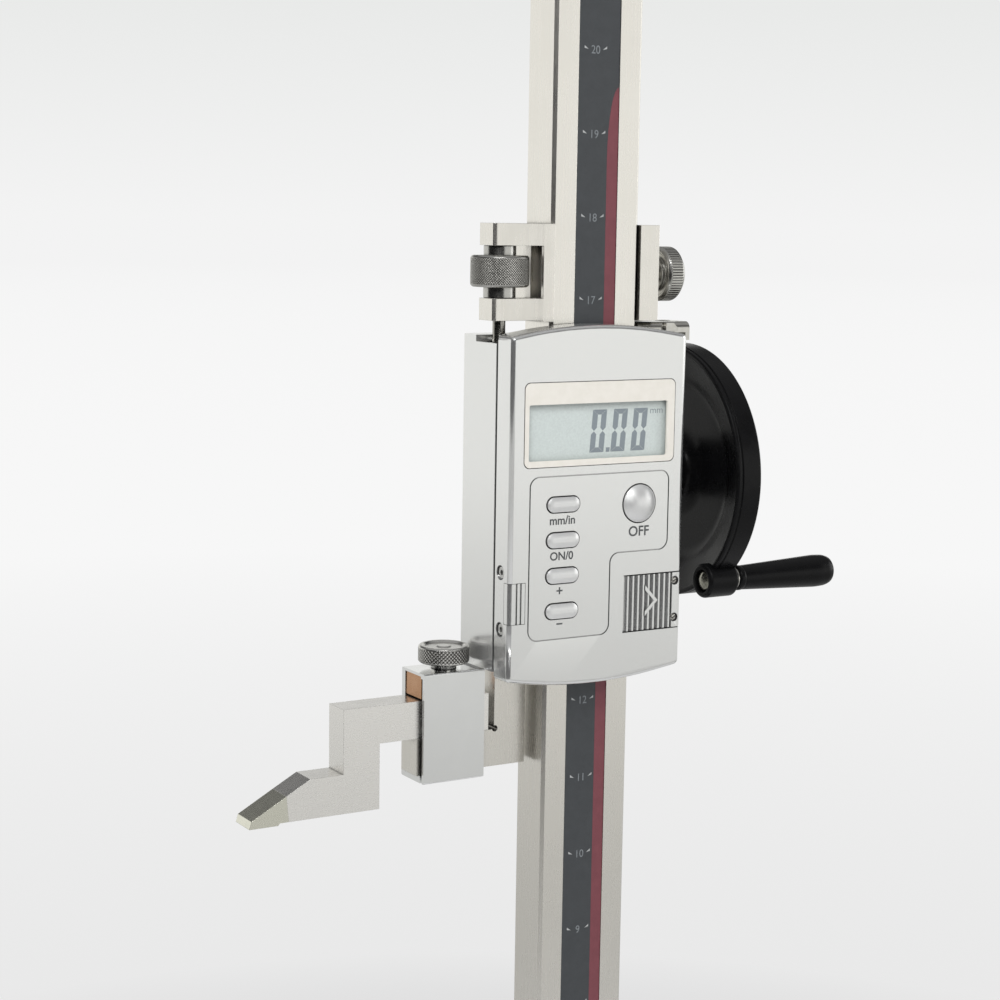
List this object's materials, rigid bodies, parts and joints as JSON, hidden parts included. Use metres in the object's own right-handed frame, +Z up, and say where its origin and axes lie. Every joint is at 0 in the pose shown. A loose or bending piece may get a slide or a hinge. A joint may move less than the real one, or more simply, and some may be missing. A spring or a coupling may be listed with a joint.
{
  "type": "digital height gauge",
  "caption": "Free-standing digital height gauge: a display head with clamped scriber slides on a scaled steel beam, driven by a cranked handwheel.",
  "frame": {"origin": "underside of the base, on the centre line of the beam", "axes": "+Z up along the beam, +X to the right and +Y to the back, seen from the side that carries the scale and the display"},
  "size_m": [0.2174, 0.107, 0.6635],
  "materials": {
    "cast_base": "dark grey hammered paint on cast iron",
    "ground_steel": "satin hard-chromed, ground",
    "plain_steel": "bright steel",
    "chrome": "polished chrome",
    "scale": "charcoal film with pale numbers and a dark red stripe",
    "black_steel": "black oxide",
    "silver_paint": "satin silver paint on a moulded housing",
    "cream": "satin cream",
    "display": "pale grey-green liquid crystal",
    "button": "silver plated, domed",
    "circuit": "green solder mask",
    "rubber": "grey silicone",
    "black_plastic": "glossy black",
    "brass": "machined brass",
    "bronze": "sintered bronze",
    "copper": "copper-coloured block",
    "cell": "nickel-plated steel",
    "carbide": "ground tungsten carbide"
  },
  "bodies": {
    "column": {"base": "cast_base", "column_bolts": "black_steel", "beam": "ground_steel", "scale_strip": "scale", "rack": "plain_steel", "rack_screws": "plain_steel", "top_cap": "black_plastic", "top_cap_screws": "black_steel"},
    "slider": {"slider_frame": "ground_steel", "keeper_plate": "plain_steel", "keeper_screws": "plain_steel", "gib_strip": "brass", "gib_screws": "black_steel", "rear_cover": "silver_paint", "rear_cover_screws": "black_steel", "guard_bar": "chrome", "guard_bar_screws": "plain_steel", "fine_screw": "plain_steel", "front_housing": "silver_paint", "housing_side_screws": "plain_steel", "display_bezel": "cream", "lcd_panel": "display", "circuit_board": "circuit", "sensor_board": "circuit", "keypad_mat": "rubber", "data_socket": "black_plastic", "button_cell": "cell", "pinion_housing": "cast_base", "pinion_housing_screws": "black_steel", "shaft_bushes": "bronze"},
    "wheel": {"pinion_shaft": "plain_steel", "handwheel": "black_plastic", "hub_screw": "plain_steel", "hub_washer": "plain_steel", "crank_screw": "plain_steel", "crank_spindle": "plain_steel", "crank_washer": "chrome"},
    "crank_grip": {"crank_handle": "black_plastic"},
    "battery_door": {"battery_cover": "silver_paint", "battery_cover_screws": "black_steel", "battery_contact": "plain_steel"},
    "port_door": {"port_cover": "silver_paint"},
    "units_key": {"button_units": "button"},
    "zero_key": {"button_zero": "button"},
    "add_key": {"button_add": "button"},
    "subtract_key": {"button_subtract": "button"},
    "off_key": {"button_off": "button"},
    "fine_carriage": {"carriage": "ground_steel"},
    "shoe": {"carriage_shoe": "brass"},
    "lock_screw": {"lock_knob": "plain_steel"},
    "feed_nut": {"fine_nut": "chrome"},
    "clamp": {"clamp_box": "chrome", "clamp_block": "copper"},
    "clamp_screw": {"clamp_knob": "chrome"},
    "scriber_body": {"scriber": "ground_steel", "carbide_tip": "carbide"}
  },
  "joints": [
    {"name": "slider_travel", "type": "slide", "parent": "column", "child": "slider", "axis": [0, 0, 1], "range_m": [-0.2752, 0.1819]},
    {"name": "handwheel_turn", "type": "hinge", "parent": "slider", "child": "wheel", "pos_m": [0.0468, 0.013, 0.3745], "axis": [1, 0, 0], "range_deg": [-2470, 1635]},
    {"name": "crank_handle_spin", "type": "hinge", "parent": "wheel", "child": "crank_grip", "pos_m": [0.0532, -0.0135, 0.341], "axis": [1, 0, 0], "continuous": true},
    {"name": "battery_cover_slide", "type": "slide", "parent": "slider", "child": "battery_door", "axis": [1, 0, 0], "range_m": [0, 0.011]},
    {"name": "port_cover_slide", "type": "slide", "parent": "slider", "child": "port_door", "axis": [-1, 0, 0], "range_m": [0, 0.006]},
    {"name": "units_press", "type": "slide", "parent": "slider", "child": "units_key", "axis": [0, 1, 0], "range_m": [0, 0.0008], "stiffness_N_per_m": 300, "springref_m": -0.001},
    {"name": "zero_press", "type": "slide", "parent": "slider", "child": "zero_key", "axis": [0, 1, 0], "range_m": [0, 0.0008], "stiffness_N_per_m": 300, "springref_m": -0.001},
    {"name": "add_press", "type": "slide", "parent": "slider", "child": "add_key", "axis": [0, 1, 0], "range_m": [0, 0.0008], "stiffness_N_per_m": 300, "springref_m": -0.001},
    {"name": "subtract_press", "type": "slide", "parent": "slider", "child": "subtract_key", "axis": [0, 1, 0], "range_m": [0, 0.0008], "stiffness_N_per_m": 300, "springref_m": -0.001},
    {"name": "off_press", "type": "slide", "parent": "slider", "child": "off_key", "axis": [0, 1, 0], "range_m": [0, 0.0008], "stiffness_N_per_m": 300, "springref_m": -0.001},
    {"name": "carriage_travel", "type": "slide", "parent": "slider", "child": "fine_carriage", "axis": [0, 0, 1], "range_m": [-0.0005, 0.006]},
    {"name": "fine_nut_turn", "type": "hinge", "parent": "fine_carriage", "child": "feed_nut", "pos_m": [-0.0311, -0.0023, 0.4406], "axis": [0, 0, 1], "range_deg": [-185, 2165]},
    {"name": "carriage_lock_turn", "type": "hinge", "parent": "fine_carriage", "child": "lock_screw", "pos_m": [0.0312, 0, 0.4397], "axis": [1, 0, 0], "range_deg": [-180, 0]},
    {"name": "lock_shoe_press", "type": "slide", "parent": "fine_carriage", "child": "shoe", "axis": [1, 0, 0], "range_m": [-0.0004, 0]},
    {"name": "clamp_box_slide", "type": "slide", "parent": "slider", "child": "clamp", "axis": [1, 0, 0], "range_m": [-0.01, 0.0008]},
    {"name": "clamp_screw_turn", "type": "hinge", "parent": "clamp", "child": "clamp_screw", "pos_m": [-0.04515, 0.0049, 0.3214], "axis": [0, 0, 1], "range_deg": [0, 360]},
    {"name": "scriber_slide", "type": "slide", "parent": "slider", "child": "scriber_body", "axis": [1, 0, 0], "range_m": [-0.015, 0.0015]}
  ],
  "couplings": [
    {"joint": "handwheel_turn", "follows": "slider_travel", "rad_per_m": 156.25},
    {"joint": "fine_nut_turn", "follows": "carriage_travel", "rad_per_m": 6283.2},
    {"joint": "lock_shoe_press", "follows": "carriage_lock_turn", "m_per_rad": 0.00012732}
  ]
}
